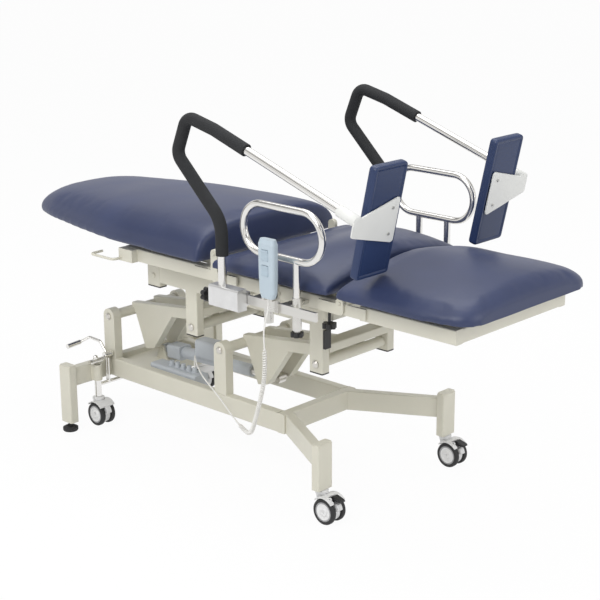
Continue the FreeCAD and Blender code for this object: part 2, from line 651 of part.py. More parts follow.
def side_rail(side):
    """Accessory rail with standoffs and the two sockets of the grip loop."""
    shape = box(SIDE_RAIL_X, mirror_y(SIDE_RAIL_Y, side), SIDE_RAIL_Z)
    inner = DECK_Y + TUBE_T / 2
    for x in (234.0, 340.0):
        arm = box(span(x, 30.0), mirror_y((inner, SIDE_RAIL_Y[0] + 1), side), (SIDE_RAIL_Z[0] + 8, SIDE_RAIL_Z[1] - 7))
        shape = shape.fuse(arm)
    for x in LOOP_POSTS:
        y = side * LOOP_Y
        socket = rod(V(x, y, SOCKET_Z[0]), V(x, y, SOCKET_Z[1]), SOCKET_R)
        bore = rod(V(x, y, SOCKET_FLOOR), V(x, y, SOCKET_Z[1] + 1), LOOP_R + RUN_FIT)
        shape = shape.fuse(socket).cut(bore)
    x, y = LOOP_POSTS[1], side * LOOP_Y
    shape = shape.fuse(rod(V(x, y, SOCKET_Z[0] - 5), V(x, y, SOCKET_Z[0] + 1), 9))
    screw_hole = rod(V(x, y, SOCKET_Z[0] - 6), V(x, y, SOCKET_Z[0] + 7), KNOB_SCREW_R + RUN_FIT)
    shape = shape.cut(screw_hole)
    return shape.fuse(handset_hook()) if side == NEAR else shape


def grip_loop(side):
    """Stadium-shaped grip loop on two posts."""
    half_x, half_z = LOOP_HALF
    y, middle = side * LOOP_Y, LOOP_MIDDLE_Z
    straight = half_x - half_z
    shapes = []
    for sign in (1, -1):
        level = middle + sign * half_z
        shapes.append(rod(V(LOOP_X - straight, y, level), V(LOOP_X + straight, y, level), LOOP_R))
        start = -90 if sign > 0 else 90
        arc = Part.makeCircle(half_z, V(LOOP_X + sign * straight, y, middle), V(0, -1, 0),
                              start, start + 180)
        profile = Part.makeCircle(LOOP_R, V(LOOP_X + sign * straight, y, middle + half_z), V(1, 0, 0))
        shapes.append(Part.Wire(arc).makePipeShell([Part.Wire(profile)], True, True))
    for x in LOOP_POSTS:
        shapes.append(rod(V(x, y, SOCKET_FLOOR + 10), V(x, y, middle - half_z), LOOP_R))
    return fuse(shapes)


def grip_knob(side):
    """Star knob that locks the grip loop from below its socket."""
    x, y = LOOP_POSTS[1], side * LOOP_Y
    screw = rod(V(x, y, SOCKET_Z[0] - 7), V(x, y, SOCKET_Z[0] + 6), KNOB_SCREW_R)
    return star_knob(V(x, y, SOCKET_Z[0] - 5.5), V(0, 0, -1), 18, 12).fuse(screw)


# ---------------------------------------------------------------- back and leg sections


def section_frame(tube_x, cross, hinge, root, stiff):
    """Pad frame: two tubes, crossbars and outer hinge ears with their pins."""
    middle = sum(DECK_Z) / 2
    outer = DECK_Y + TUBE_T / 2
    inner = DECK_Y - TUBE_T / 2
    shapes = []
    for x in cross:
        shapes.append(bar(V(x, -inner - 4, middle), V(x, inner + 4, middle), 30, 40))
    for side, _ in SIDES:
        y = side * DECK_Y
        shapes.append(bar(V(tube_x[0], y, middle), V(tube_x[1], y, middle), TUBE_T, 40))
        shapes.append(hinge_ear(hinge, root, mirror_y((outer, outer + EAR_T), side), False))
        pin_y = mirror_y((outer + 1, outer + 2 * EAR_T + 5), side)
        shapes.append(rod(V(hinge[0], pin_y[0], hinge[1]), V(hinge[0], pin_y[1], hinge[1]), HINGE_R))
    shapes.append(box(stiff, (-outer + 30, outer - 30), (DECK_Z[1], PAD_Z)))
    return fuse(shapes)


def back_frame():
    """Back section frame with the roll holder rods at the head end."""
    shape = section_frame(BACK_TUBE_X, (-385.0, -220.0, -60.0), BACK_HINGE, -90.0, (-380, -60))
    for side, _ in SIDES:
        block = box((BACK_TUBE_X[0] - 4, BACK_TUBE_X[0] + 56), mirror_y((DECK_Y + 13, DECK_Y + 37), side), (DECK_Z[0], DECK_Z[1] - 2))
        root, tip, z = BACK_TUBE_X[0] + 5, BACK_TUBE_X[0] - 100, DECK_Z[0] + 8
        wide, near_y, far_y = side * (PAD_HALF - 8), side * (DECK_Y + 30), side * (DECK_Y + 21)
        points = [V(root, near_y, z), V(root, wide, z), V(tip, wide, z), V(tip, far_y, z)]
        shape = shape.fuse(block).fuse(bent_rod(points, (14, 14), 4))
    return shape


def leg_frame():
    """Leg section frame."""
    return section_frame(LEG_TUBE_X, (550.0, 700.0, 835.0), LEG_HINGE, 560.0, (560, 830))


def pad_section(x, half, crown, fullness):
    """Closed section of a pad: flat below, crowned above; a higher fullness has squarer shoulders."""
    rim = PAD_Z + PAD_RIM
    shoulder = half * (0.42 + 0.44 * fullness)
    right = [(shoulder, 0.96), (half * 0.985, 0.45 + 0.3 * fullness), (half, 0.0)]
    left = [(-u, level) for u, level in reversed(right)]
    poles = [V(x, u, rim + crown * level) for u, level in left + [(0.0, 1.04)] + right]
    curve = Part.BSplineCurve()
    curve.buildFromPoles(poles)
    low_left, low_right = V(x, -half, PAD_Z), V(x, half, PAD_Z)
    edges = [Part.makeLine(low_left, poles[0]), curve.toShape(),
             Part.makeLine(poles[-1], low_right), Part.makeLine(low_right, low_left)]
    return Part.Wire(edges)


def pad(stations):
    """Pad lofted through stations of place, inset of its sides, crown and fullness."""
    sections = [pad_section(x, PAD_HALF - inset, crown, full) for x, inset, crown, full in stations]
    return Part.makeLoft(sections, True, False)


def back_pad():
    """Back pad: rounded head end, long even taper, square end beside the seat."""
    head, foot = BACK_PAD_X
    return pad([(head, 140, 24, 0.5), (head + 10, 128, 40, 0.5), (head + 26, 116, 52, 0.5),
                (head + 60, 100, 64, 0.5), (head + 104, 83, 71, 0.5), (head + 180, 64, 77, 0.5),
                (head + 260, 48, 82, 0.5), (head + 343, 32, 87, 0.5), (head + 418, 19, 91, 0.5),
                (head + 520, 7, 94, 0.5), (head + 610, 4, 96, 0.5), (foot - 120, 1, 99, 0.5),
                (foot - 40, 1, 99, 0.5), (foot - 16, 1, 97, 0.5), (foot - 6, 2, 92, 0.5),
                (foot, 4, 84, 0.5)])


def seat_pad():
    """Seat pad, flat beside the back section and crowned towards the legs."""
    head, foot = SEAT_PAD_X
    return pad([(head, 4, 16, 0.95), (head + 7, 1, 20, 0.95), (head + 20, 0, 21, 0.9),
                (head + 70, 0, 26, 0.85), (head + 130, 0, 36, 0.7),
                (head + 190, 0, 50, 0.5), (head + 250, 0, 66, 0.3),
                (head + 310, 0, 76, 0.0), (head + 370, 1, 78, -0.25),
                (foot - 35, 3, 74, -0.4), (foot - 12, 5, 67, -0.4), (foot, 8, 57, -0.4)])


def leg_pad():
    """Leg pad, crowned along its middle with rounded foot corners."""
    head, foot = LEG_PAD_X
    return pad([(head, 8, 56, -0.4), (head + 7, 5, 64, -0.4), (head + 20, 3, 68, -0.4),
                (head + 60, 1, 73, -0.38), (head + 120, 0, 76, -0.35),
                (head + 200, 0, 74, -0.3), (foot - 160, 2, 70, -0.15),
                (foot - 100, 8, 64, 0.0), (foot - 60, 16, 57, 0.15), (foot - 30, 28, 48, 0.3),
                (foot - 12, 45, 36, 0.4), (foot, 74, 22, 0.5)])


def leg_knob():
    """Star knob that locks the leg section, with its screw."""
    screw = rod(LEG_KNOB + V(0, 0, -6), V(LEG_KNOB.x, LEG_KNOB.y, DECK_Z[0] + 14), KNOB_SCREW_R)
    return star_knob(LEG_KNOB + V(0, 0, -6), V(0, 0, -1), 20, 14).fuse(screw)


# ---------------------------------------------------------------- leg holders
def stirrup_clamp(side):
    """Rail clamp: jaw round the accessory rail and a bored block for the post."""
    block_z = (570.0, 630.0)
    block = bar(V(STIRRUP_X - 34, side * STIRRUP_Y, 600), V(STIRRUP_X + 79, side * STIRRUP_Y, 600),
                44, block_z[1] - block_z[0], 6.0)
    block = block.cut(box((STIRRUP_X - 40, STIRRUP_X + 90), mirror_y((SIDE_RAIL_Y[0] - 30, SIDE_RAIL_Y[1] + 1.4), side), (560, 640)))
    jaw_x = (STIRRUP_X - 30, STIRRUP_X + 76)
    jaw = box(jaw_x, mirror_y((SIDE_RAIL_Y[0] - 8, SIDE_RAIL_Y[1] + 1.6), side), (SIDE_RAIL_Z[0] - 6, SIDE_RAIL_Z[1] + 6))
    slot = box((jaw_x[0] - 1, jaw_x[1] + 1), mirror_y((SIDE_RAIL_Y[0] - 0.2, SIDE_RAIL_Y[1] + 0.2), side),
               (SIDE_RAIL_Z[0] - 0.2, SIDE_RAIL_Z[1] + 0.2))
    mouth = box((jaw_x[0] - 1, jaw_x[1] + 1), mirror_y((SIDE_RAIL_Y[0] - 10, SIDE_RAIL_Y[0] + 2), side), (SIDE_RAIL_Z[0] + 5, SIDE_RAIL_Z[1] - 4))
    shape = block.fuse(jaw.cut(slot).cut(mouth))
    y = side * STIRRUP_Y
    shape = shape.cut(rod(V(STIRRUP_X, y, 560), V(STIRRUP_X, y, 640), STIRRUP_R + RUN_FIT))
    y = side * CLAMP_KNOB_Y
    return shape.cut(rod(V(STIRRUP_X - 35, y, CLAMP_KNOB_Z), V(STIRRUP_X - 24, y, CLAMP_KNOB_Z),
                         KNOB_SCREW_R + RUN_FIT))


def stirrup_points(side):
    """Corner points of the leg holder bar."""
    return [V(x, side * STIRRUP_Y, z) for x, z in STIRRUP_PATH]


def stirrup_tube(side):
    """Leg holder bar, bent from one tube."""
    return bent_rod(stirrup_points(side), STIRRUP_BENDS, STIRRUP_R)


def stirrup_foam(side):
    """Foam sleeve on the bent stretch of the bar."""
    points = stirrup_points(side)
    run = points[5].sub(points[4]).normalize()
    end = points[4] + run * ((FOAM_END_X - points[4].x) / run.x)
    route = [V(points[0].x, points[0].y, 712)] + points[1:5] + [end]
    outer = bent_rod(route, STIRRUP_BENDS, FOAM_R)
    return outer.cut(stirrup_tube(side))


def stirrup_knob(side):
    """Star knob of the rail clamp, on its screw."""
    start = V(STIRRUP_X - 48, side * CLAMP_KNOB_Y, CLAMP_KNOB_Z)
    screw = rod(start, start + V(23, 0, 0), KNOB_SCREW_R)
    return star_knob(start, V(-1, 0, 0), CLAMP_KNOB_R, 14).fuse(screw)


def tilted(shape):
    """Turn a shape from the upright leg plate into its tilted place."""
    shape.rotate(V(0, 0, 0), V(0, 1, 0), math.degrees(PLATE_TILT))
    shape.translate(V(PLATE_MIDDLE[0], 0, PLATE_MIDDLE[1]))
    return shape


def leg_plate(side):
    """Padded plate of the leg holder, a tray with a raised rim."""
    t, w, h = PLATE_SIZE
    face = Part.Face(rounded_rect(h, w, 10))
    slab = face.extrude(V(0, 0, t))
    slab.Placement = FreeCAD.Placement(V(-t / 2, side * PLATE_Y, 0), FreeCAD.Rotation(V(0, 1, 0), 90))
    return tilted(slab)


def leg_bracket(side):
    """Folded bracket: clamp sleeve on the bar, then a flange screwed behind the plate."""
    t = PLATE_SIZE[0]
    back = t / 2
    outer, inner = STIRRUP_Y + 16, PLATE_Y - 52
    corners = [V(back, side * outer, 22), V(back, side * outer, -22), V(back, side * inner, -66),
               V(back, side * inner, 66)]
    face = Part.Face(Part.makePolygon(corners + corners[:1]))
    flange = tilted(face.extrude(V(4, 0, 0)))
    points = stirrup_points(side)
    run = points[5].sub(points[4]).normalize()
    bore_end = points[5] + run * 0.5
    sleeve = rod(points[5] - run * 40, points[5] + run * 24, 16)
    sleeve = sleeve.cut(rod(points[5] - run * 41, bore_end, STIRRUP_R + RUN_FIT))
    return flange.fuse(sleeve).removeSplitter()


# ---------------------------------------------------------------- handset and its cord


def handset():
    """Handset shell, rounder at the top and drawn in at the bottom."""
    middle_x, middle_y = HANDSET_MIDDLE_X, HANDSET_MIDDLE_Y
    width, depth = HANDSET_X[1] - HANDSET_X[0], HANDSET_Y[1] - HANDSET_Y[0]
    low, high = HANDSET_Z
    stations = ((low, 0.72, 0.8, 9.0), (low + 16, 0.9, 0.95, 10.0), (low + 60, 0.96, 1.0, 10.0),
                (high - 14, 1.0, 1.0, 10.0), (high, 0.84, 0.72, 8.0))
    wires = []
    for z, wide, deep, radius in stations:
        wire = rounded_rect(width * wide, depth * deep, radius)
        wire.translate(V(middle_x, middle_y, z))
        wires.append(wire)
    shell = Part.makeLoft(wires, True, True)
    for centre in BUTTON_Z:
        pocket = box(span(middle_x, 24.4), (HANDSET_Y[0] - 5, HANDSET_Y[0] + 6), span(centre, 29.8))
        reach = ROCKER_HALF + 1.6
        bore = rod(V(middle_x - reach, ROCKER_PIN_Y, centre), V(middle_x + reach, ROCKER_PIN_Y, centre),
                   ROCKER_PIN_R + RUN_FIT)
        shell = shell.cut(pocket).cut(bore)
    return shell


def rocker(centre):
    """Rocker key in the face of the handset, dished in the middle, on its pin."""
    middle_x = HANDSET_MIDDLE_X
    y = HANDSET_Y[0]
    key = box(span(middle_x, 2 * ROCKER_HALF), (y - 2, y + 4.5), span(centre, 28.0))
    dish = rod(V(middle_x - 15, y - 40, centre), V(middle_x + 15, y - 40, centre), 39.2)
    reach = ROCKER_HALF + 1.5
    pin = rod(V(middle_x - reach, ROCKER_PIN_Y, centre), V(middle_x + reach, ROCKER_PIN_Y, centre),
              ROCKER_PIN_R)
    return key.cut(dish).fuse(pin)


def handset_hook():
    """Bracket on the accessory rail: a back plate and two fingers under the handset."""
    middle_x = sum(HANDSET_X) / 2
    rail_y, top = -SIDE_RAIL_Y[1] + 0.5, HANDSET_Z[0]
    shape = box(span(middle_x, 38.0), (HOOK_Y, rail_y), (SIDE_RAIL_Z[0], top + 34))
    for sign in (1, -1):
        finger_x = span(middle_x + sign * 15, 8.0)
        shape = shape.fuse(box(finger_x, (HANDSET_Y[0] + 6, HOOK_Y + 1), (top - 6, top)))
    return shape


def cord_radii(points):
    """Largest tangent arc that each pair of neighbouring runs allows."""
    radii = []
    for before, corner, after in zip(points, points[1:], points[2:]):
        into, out = before.sub(corner), after.sub(corner)
        half_turn = (math.pi - into.getAngle(out)) / 2
        radii.append(0.45 * min(into.Length, out.Length) / math.tan(half_turn))
    return radii


def cord(points, radius):
    """Cord solid along straight runs and tangent arcs, with its volume checked."""
    radii = cord_radii(points)
    path = filleted_path(points, radii)
    tube = bent_rod(points, radii, radius)
    expected = math.pi * radius ** 2 * path.Length
    print("cord arcs", [round(r) for r in radii], "volume ratio", round(tube.Volume / expected, 4))
    return tube


def build():
    """Write every node."""
    for side, word in SIDES:
        save("base_side_" + word, base_side(side))
        save("levelling_foot_" + word, levelling_foot(side))
        y = side * CASTER_Y
        save("caster_housing_" + word, caster_housing(CASTER_X, y, TRAIL, 0.0, True))
        save("caster_wheels_" + word, caster_wheels(CASTER_X, y, TRAIL, 0.0))
        save("caster_brake_" + word, brake_lever(CASTER_X, y))
        y = side * LIFTER_Y
        save("lifted_housing_" + word,
             caster_housing(LIFTER_X, y, LIFTER_TRAIL, LIFTER_GAP, False))
        save("lifted_wheels_" + word, caster_wheels(LIFTER_X, y, LIFTER_TRAIL, LIFTER_GAP))
        save("upper_side_" + word, upper_side(side))
        save("side_rail_" + word, side_rail(side))
        save("grip_loop_" + word, grip_loop(side))
        save("grip_knob_" + word, grip_knob(side))
        save("stirrup_clamp_" + word, stirrup_clamp(side))
        save("stirrup_knob_" + word, stirrup_knob(side))
        save("stirrup_tube_" + word, stirrup_tube(side))
        save("stirrup_foam_" + word, stirrup_foam(side))
        save("leg_plate_" + word, leg_plate(side))
        save("leg_bracket_" + word, leg_bracket(side))
    save("head_frame", head_frame())
    save("foot_frame", foot_frame())
    save("cross_tray", cross_tray())
    save("control_box", control_box())
    save("base_shafts", base_shafts())
    save("caster_lift", caster_lift())
    save("lift_pedal", lift_pedal())
    save("lift_arm_head", lift_arm(PIVOT_X[0]))
    save("lift_arm_foot", lift_arm(PIVOT_X[1]))
    save("actuator_housing", actuator_housing())
    save("actuator_rod", actuator_rod())
    save("upper_cross", upper_cross())
    save("upper_shafts", upper_shafts())
    save("upper_caps", upper_caps())
    save("back_frame", back_frame())
    save("back_pad", back_pad())
    save("seat_pad", seat_pad())
    save("leg_frame", leg_frame())
    save("leg_pad", leg_pad())
    save("leg_knob", leg_knob())
    save("handset", handset())
    save("rocker_height", rocker(BUTTON_Z[0]))
    save("rocker_back", rocker(BUTTON_Z[1]))
    save("cord_lead", cord(LEAD_ROUTE, CORD_R))
    save("cord_coil", cord(COIL_ROUTE, COIL_R))
    save("cord_tail", cord(TAIL_ROUTE, CORD_R))


build()
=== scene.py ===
import math

import bmesh
import bpy
from mathutils import Matrix, Vector, noise


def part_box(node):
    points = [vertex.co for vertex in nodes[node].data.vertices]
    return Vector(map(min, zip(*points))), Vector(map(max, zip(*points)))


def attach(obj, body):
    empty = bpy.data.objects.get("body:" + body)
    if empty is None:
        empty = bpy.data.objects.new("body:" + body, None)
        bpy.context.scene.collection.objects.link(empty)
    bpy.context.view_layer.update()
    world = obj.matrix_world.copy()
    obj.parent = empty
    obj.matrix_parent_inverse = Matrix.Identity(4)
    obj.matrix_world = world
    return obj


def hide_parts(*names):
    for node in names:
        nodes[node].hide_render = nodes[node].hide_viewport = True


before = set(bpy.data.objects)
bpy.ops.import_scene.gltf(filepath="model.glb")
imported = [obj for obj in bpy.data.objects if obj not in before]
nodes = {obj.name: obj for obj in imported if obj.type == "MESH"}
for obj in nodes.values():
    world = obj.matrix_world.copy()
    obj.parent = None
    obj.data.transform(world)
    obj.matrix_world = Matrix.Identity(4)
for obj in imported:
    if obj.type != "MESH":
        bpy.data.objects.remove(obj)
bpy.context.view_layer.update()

scene = bpy.context.scene
scene.view_settings.view_transform = "Standard"

# ---- Camera
# A long lens, held a little above the pads and looking down at the foot end and the near side.
# Its frame is shifted to hold the whole table.
azimuth, elevation = math.radians(42.298), math.radians(16.458)
camera_at = Vector((2.99377, -3.06184, 1.75))
back = Vector((math.sin(azimuth) * math.cos(elevation), -math.cos(azimuth) * math.cos(elevation),
               math.sin(elevation)))
right = Vector((math.cos(azimuth), math.sin(azimuth), 0.0))
above = back.cross(right)
lens = bpy.data.cameras.new("camera")
lens.lens, lens.sensor_width = 90.27, 36.0
lens.shift_x, lens.shift_y = -0.04796, -0.00228
lens.clip_end = 60.0
camera = bpy.data.objects.new("camera", lens)
scene.collection.objects.link(camera)
camera.matrix_world = Matrix(((right.x, above.x, back.x, camera_at.x),
                              (right.y, above.y, back.y, camera_at.y),
                              (right.z, above.z, back.z, camera_at.z), (0, 0, 0, 1)))
scene.camera = camera

# ---- Studio
# A flat white sheet of paper, one broad key lamp on the near side, a fill from the foot end and a
# soft top lamp.  The paper shows white to the eye and in polished metal, and keeps a faint shadow,
# and polished metal sees dark bands at eye level in the room.
room_light = 0.62
room_bands = ((0.12, 0.95), (0.34, 0.9), (0.46, 0.34), (0.62, 0.3), (0.74, 0.95))
lamps = (("key", (0.6, -3.2, 3.4), 2.2, 78.0), ("fill", (3.6, 0.6, 2.2), 2.4, 34.0),
         ("top", (-0.6, 0.6, 3.6), 2.6, 46.0))
lamps_look_at = Vector((0, 0, 0.5))
paper_half, paper_grey, paper_glow = 14, 0.86, 0.95
world = bpy.data.worlds.new("studio")
scene.world = world
world.use_nodes = True
air = world.node_tree
air.nodes.clear()
seen = air.nodes.new("ShaderNodeLightPath")
either = air.nodes.new("ShaderNodeMath")
either.operation = "MAXIMUM"
air.links.new(seen.outputs["Is Camera Ray"], either.inputs[0])
air.links.new(seen.outputs["Is Transmission Ray"], either.inputs[1])
aim = air.nodes.new("ShaderNodeTexCoord")
split = air.nodes.new("ShaderNodeSeparateXYZ")
air.links.new(aim.outputs["Generated"], split.inputs[0])
bands = air.nodes.new("ShaderNodeValToRGB")
lowest_stop, highest_stop = bands.color_ramp.elements
lowest_stop.position, lowest_stop.color = 0.0, (0.62, 0.6, 0.57, 1)
highest_stop.position, highest_stop.color = 1.0, (0.95, 0.95, 0.95, 1)
for place, level in room_bands:
    stop = bands.color_ramp.elements.new(place)
    stop.color = (level, level * 0.99, level * 0.97, 1)
air.links.new(split.outputs["Z"], bands.inputs[0])
ambient = air.nodes.new("ShaderNodeBackground")
ambient.inputs["Color"].default_value = (1.0, 1.0, 1.0, 1)
ambient.inputs["Strength"].default_value = room_light
walls = air.nodes.new("ShaderNodeBackground")
air.links.new(bands.outputs[0], walls.inputs["Color"])
white = air.nodes.new("ShaderNodeBackground")
white.inputs["Color"].default_value = (1, 1, 1, 1)
polished = air.nodes.new("ShaderNodeMixShader")
air.links.new(seen.outputs["Is Glossy Ray"], polished.inputs[0])
air.links.new(ambient.outputs[0], polished.inputs[1])
air.links.new(walls.outputs[0], polished.inputs[2])
direct = air.nodes.new("ShaderNodeMixShader")
air.links.new(either.outputs[0], direct.inputs[0])
air.links.new(polished.outputs[0], direct.inputs[1])
air.links.new(white.outputs[0], direct.inputs[2])
air_out = air.nodes.new("ShaderNodeOutputWorld")
air.links.new(direct.outputs[0], air_out.inputs["Surface"])
for name, place, size, watts in lamps:
    lamp = bpy.data.lights.new(name, "AREA")
    lamp.energy, lamp.size = watts, size
    stand = bpy.data.objects.new(name, lamp)
    scene.collection.objects.link(stand)
    stand.location = place
    stand.rotation_euler = (lamps_look_at - Vector(place)).to_track_quat("-Z", "Y").to_euler()
paper_mesh = bpy.data.meshes.new("paper")
paper_corners = [(x * paper_half, y * paper_half, 0) for x, y in ((-1, -1), (1, -1), (1, 1), (-1, 1))]
paper_mesh.from_pydata(paper_corners, [], [(0, 1, 2, 3)])
paper = bpy.data.objects.new("paper", paper_mesh)
scene.collection.objects.link(paper)
paper_look = bpy.data.materials.new("paper")
paper_look.use_nodes = True
sheet_tree = paper_look.node_tree
sheet_tree.nodes.clear()
matt = sheet_tree.nodes.new("ShaderNodeBsdfDiffuse")
matt.inputs["Color"].default_value = (paper_grey, paper_grey, paper_grey, 1)
glow = sheet_tree.nodes.new("ShaderNodeEmission")
rays = sheet_tree.nodes.new("ShaderNodeLightPath")
watched = sheet_tree.nodes.new("ShaderNodeMath")
watched.operation = "MAXIMUM"
sheet_tree.links.new(rays.outputs["Is Camera Ray"], watched.inputs[0])
sheet_tree.links.new(rays.outputs["Is Glossy Ray"], watched.inputs[1])
share = sheet_tree.nodes.new("ShaderNodeMath")
share.operation = "MULTIPLY"
share.inputs[1].default_value = paper_glow
sheet_tree.links.new(watched.outputs[0], share.inputs[0])
mixed = sheet_tree.nodes.new("ShaderNodeMixShader")
sheet_tree.links.new(share.outputs[0], mixed.inputs[0])
sheet_tree.links.new(matt.outputs[0], mixed.inputs[1])
sheet_tree.links.new(glow.outputs[0], mixed.inputs[2])
sheet_out = sheet_tree.nodes.new("ShaderNodeOutputMaterial")
sheet_tree.links.new(mixed.outputs[0], sheet_out.inputs["Surface"])
paper.data.materials.append(paper_look)


def surface(name, colour, roughness, metallic=0.0, mottle=0.05, mottle_size=0.05, grain=0.0006,
            depth=0.00004, stretch=(1, 1, 1)):
    """A finish on Object coordinates: clouded colour, uneven gloss and a fine relief."""
    gloss_swing, cloud_from, cloud_to = 0.15, 0.3, 0.7
    look = bpy.data.materials.new(name)
    look.use_nodes = True
    tree = look.node_tree
    shader = tree.nodes["Principled BSDF"]
    place = tree.nodes.new("ShaderNodeTexCoord")
    scale = tree.nodes.new("ShaderNodeMapping")
    scale.inputs["Scale"].default_value = stretch
    tree.links.new(place.outputs["Object"], scale.inputs["Vector"])
    cloud = tree.nodes.new("ShaderNodeTexNoise")
    cloud.inputs["Scale"].default_value = 1 / mottle_size
    cloud.inputs["Detail"].default_value = 4
    tree.links.new(scale.outputs[0], cloud.inputs["Vector"])
    tone = tree.nodes.new("ShaderNodeValToRGB")
    for stop, share_of in zip(tone.color_ramp.elements, (1 - mottle, 1 + mottle)):
        stop.color = [min(1.0, c * share_of) for c in colour] + [1]
    tone.color_ramp.elements[0].position, tone.color_ramp.elements[1].position = cloud_from, cloud_to
    tree.links.new(cloud.outputs["Fac"], tone.inputs[0])
    tree.links.new(tone.outputs[0], shader.inputs["Base Color"])
    gloss = tree.nodes.new("ShaderNodeMapRange")
    gloss.inputs["To Min"].default_value = roughness * (1 - gloss_swing)
    gloss.inputs["To Max"].default_value = min(1.0, roughness * (1 + gloss_swing))
    tree.links.new(cloud.outputs["Fac"], gloss.inputs["Value"])
    tree.links.new(gloss.outputs[0], shader.inputs["Roughness"])
    shader.inputs["Metallic"].default_value = metallic
    fine = tree.nodes.new("ShaderNodeTexNoise")
    fine.inputs["Scale"].default_value = 1 / grain
    fine.inputs["Detail"].default_value = 2
    tree.links.new(scale.outputs[0], fine.inputs["Vector"])
    relief = tree.nodes.new("ShaderNodeBump")
    relief.inputs["Strength"].default_value = 0.5
    relief.inputs["Distance"].default_value = depth
    tree.links.new(fine.outputs["Fac"], relief.inputs["Height"])
    tree.links.new(relief.outputs[0], shader.inputs["Normal"])
    return look


def dress(names, look):
    """Give CAD nodes one finish."""
    for name in names:
        nodes[name].data.materials.clear()
        nodes[name].data.materials.append(look)


def both(*stems):
    """The near and far node of each stem."""
    return [stem + "_" + side for stem in stems for side in ("near", "far")]


ivory_coat = surface("ivory_coat", (0.655, 0.635, 0.54), 0.42, mottle=0.025, mottle_size=0.12, grain=0.0022,
                     depth=0.00006)
ivory_coat.node_tree.nodes["Principled BSDF"].inputs["Coat Weight"].default_value = 0.12
dress(both("base_side", "upper_side") + ["head_frame", "foot_frame", "cross_tray", "lift_arm_head",
      "lift_arm_foot", "upper_cross", "back_frame", "leg_frame"], ivory_coat)
bolt_steel = surface("bolt_steel", (0.66, 0.64, 0.6), 0.3, 1.0, mottle=0.06, mottle_size=0.01)
dress(["base_shafts", "upper_shafts", "actuator_rod"], bolt_steel)

# ---- Handset cord
# One plasticised lead: straight out of the handset, curled tight for most of its length, and
# straight again up to its plug on the control box.  Its curled part is a helix about the route.
lead_route = [(0.3205, -0.359, 0.630), (0.3205, -0.359, 0.598), (0.309, -0.3685, 0.545),
              (0.303, -0.360, 0.492)]
coil_route = [(0.303, -0.360, 0.492), (0.296, -0.350, 0.430), (0.272, -0.336, 0.360),
              (0.236, -0.318, 0.290), (0.196, -0.296, 0.226), (0.150, -0.262, 0.176),
              (0.096, -0.230, 0.152), (0.044, -0.212, 0.164)]
tail_route = [(0.044, -0.212, 0.164), (0.004, -0.1982, 0.1732), (-0.036, -0.193, 0.200),
              (-0.084, -0.187, 0.228), (-0.140, -0.178, 0.254), (-0.192, -0.152, 0.272),
              (-0.232, -0.122, 0.283), (-0.254, -0.103, 0.275), (-0.265, -0.094, 0.255),
              (-0.265, -0.094, 0.232)]
cord_radius, curl_radius, curl_pitch = 0.0022, 0.0044, 0.0075
steps_per_turn, fading_turns = 12, 3


def nurbs_curve(name, points):
    """A curve of one open NURBS spline through control points, ends included."""
    data = bpy.data.curves.new(name, "CURVE")
    data.dimensions = "3D"
    spline = data.splines.new("NURBS")
    spline.points.add(len(points) - 1)
    for control, place in zip(spline.points, points):
        control.co = (*place, 1.0)
    spline.order_u = 3
    spline.use_endpoint_u = True
    piece = bpy.data.objects.new(name, data)
    scene.collection.objects.link(piece)
    return piece


def plain_mesh(piece):
    """The mesh of a piece as its curve settings or modifiers leave it."""
    return bpy.data.meshes.new_from_object(piece.evaluated_get(bpy.context.evaluated_depsgraph_get()))


guide = nurbs_curve("coil_guide", coil_route)
guide.data.resolution_u = 24
bpy.context.view_layer.update()
centre = [v.co.copy() for v in plain_mesh(guide).vertices]
bpy.data.objects.remove(guide)
distance = [0.0]
for a, b in zip(centre, centre[1:]):
    distance.append(distance[-1] + (b - a).length)
steps = int(distance[-1] / curl_pitch) * steps_per_turn
fading_steps = fading_turns * steps_per_turn
helix, normal, spot = [], Vector((0, 1, 0)), 0
for step in range(steps + 1):
    reach = distance[-1] * step / steps
    while spot < len(centre) - 2 and distance[spot + 1] < reach:
        spot += 1
    run = centre[spot + 1] - centre[spot]
    tangent = run.normalized()
    normal = (normal - tangent * normal.dot(tangent)).normalized()
    axis_point = centre[spot] + run * ((reach - distance[spot]) / run.length)
    turn = 2 * math.pi * step / steps_per_turn
    swell = min(1.0, step / fading_steps, (steps - step) / fading_steps)
    swell = swell * swell * (3 - 2 * swell)
    helix.append(axis_point + (normal * math.cos(turn) + tangent.cross(normal) * math.sin(turn))
                 * curl_radius * swell)
handset_cord = nurbs_curve("handset_cord", lead_route[:-1] + [tuple(p) for p in helix] + tail_route[1:])
handset_cord.data.resolution_u = 3
bpy.context.view_layer.update()
bare = plain_mesh(handset_cord)
handset_cord.data.bevel_depth = cord_radius
handset_cord.data.bevel_resolution = 3
cord_skin = surface("cord_skin", (0.80, 0.79, 0.76), 0.45, mottle=0.03, mottle_size=0.02, grain=0.0008)
handset_cord.data.materials.append(cord_skin)
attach(handset_cord, "upper_frame")
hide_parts("cord_lead", "cord_coil", "cord_tail")

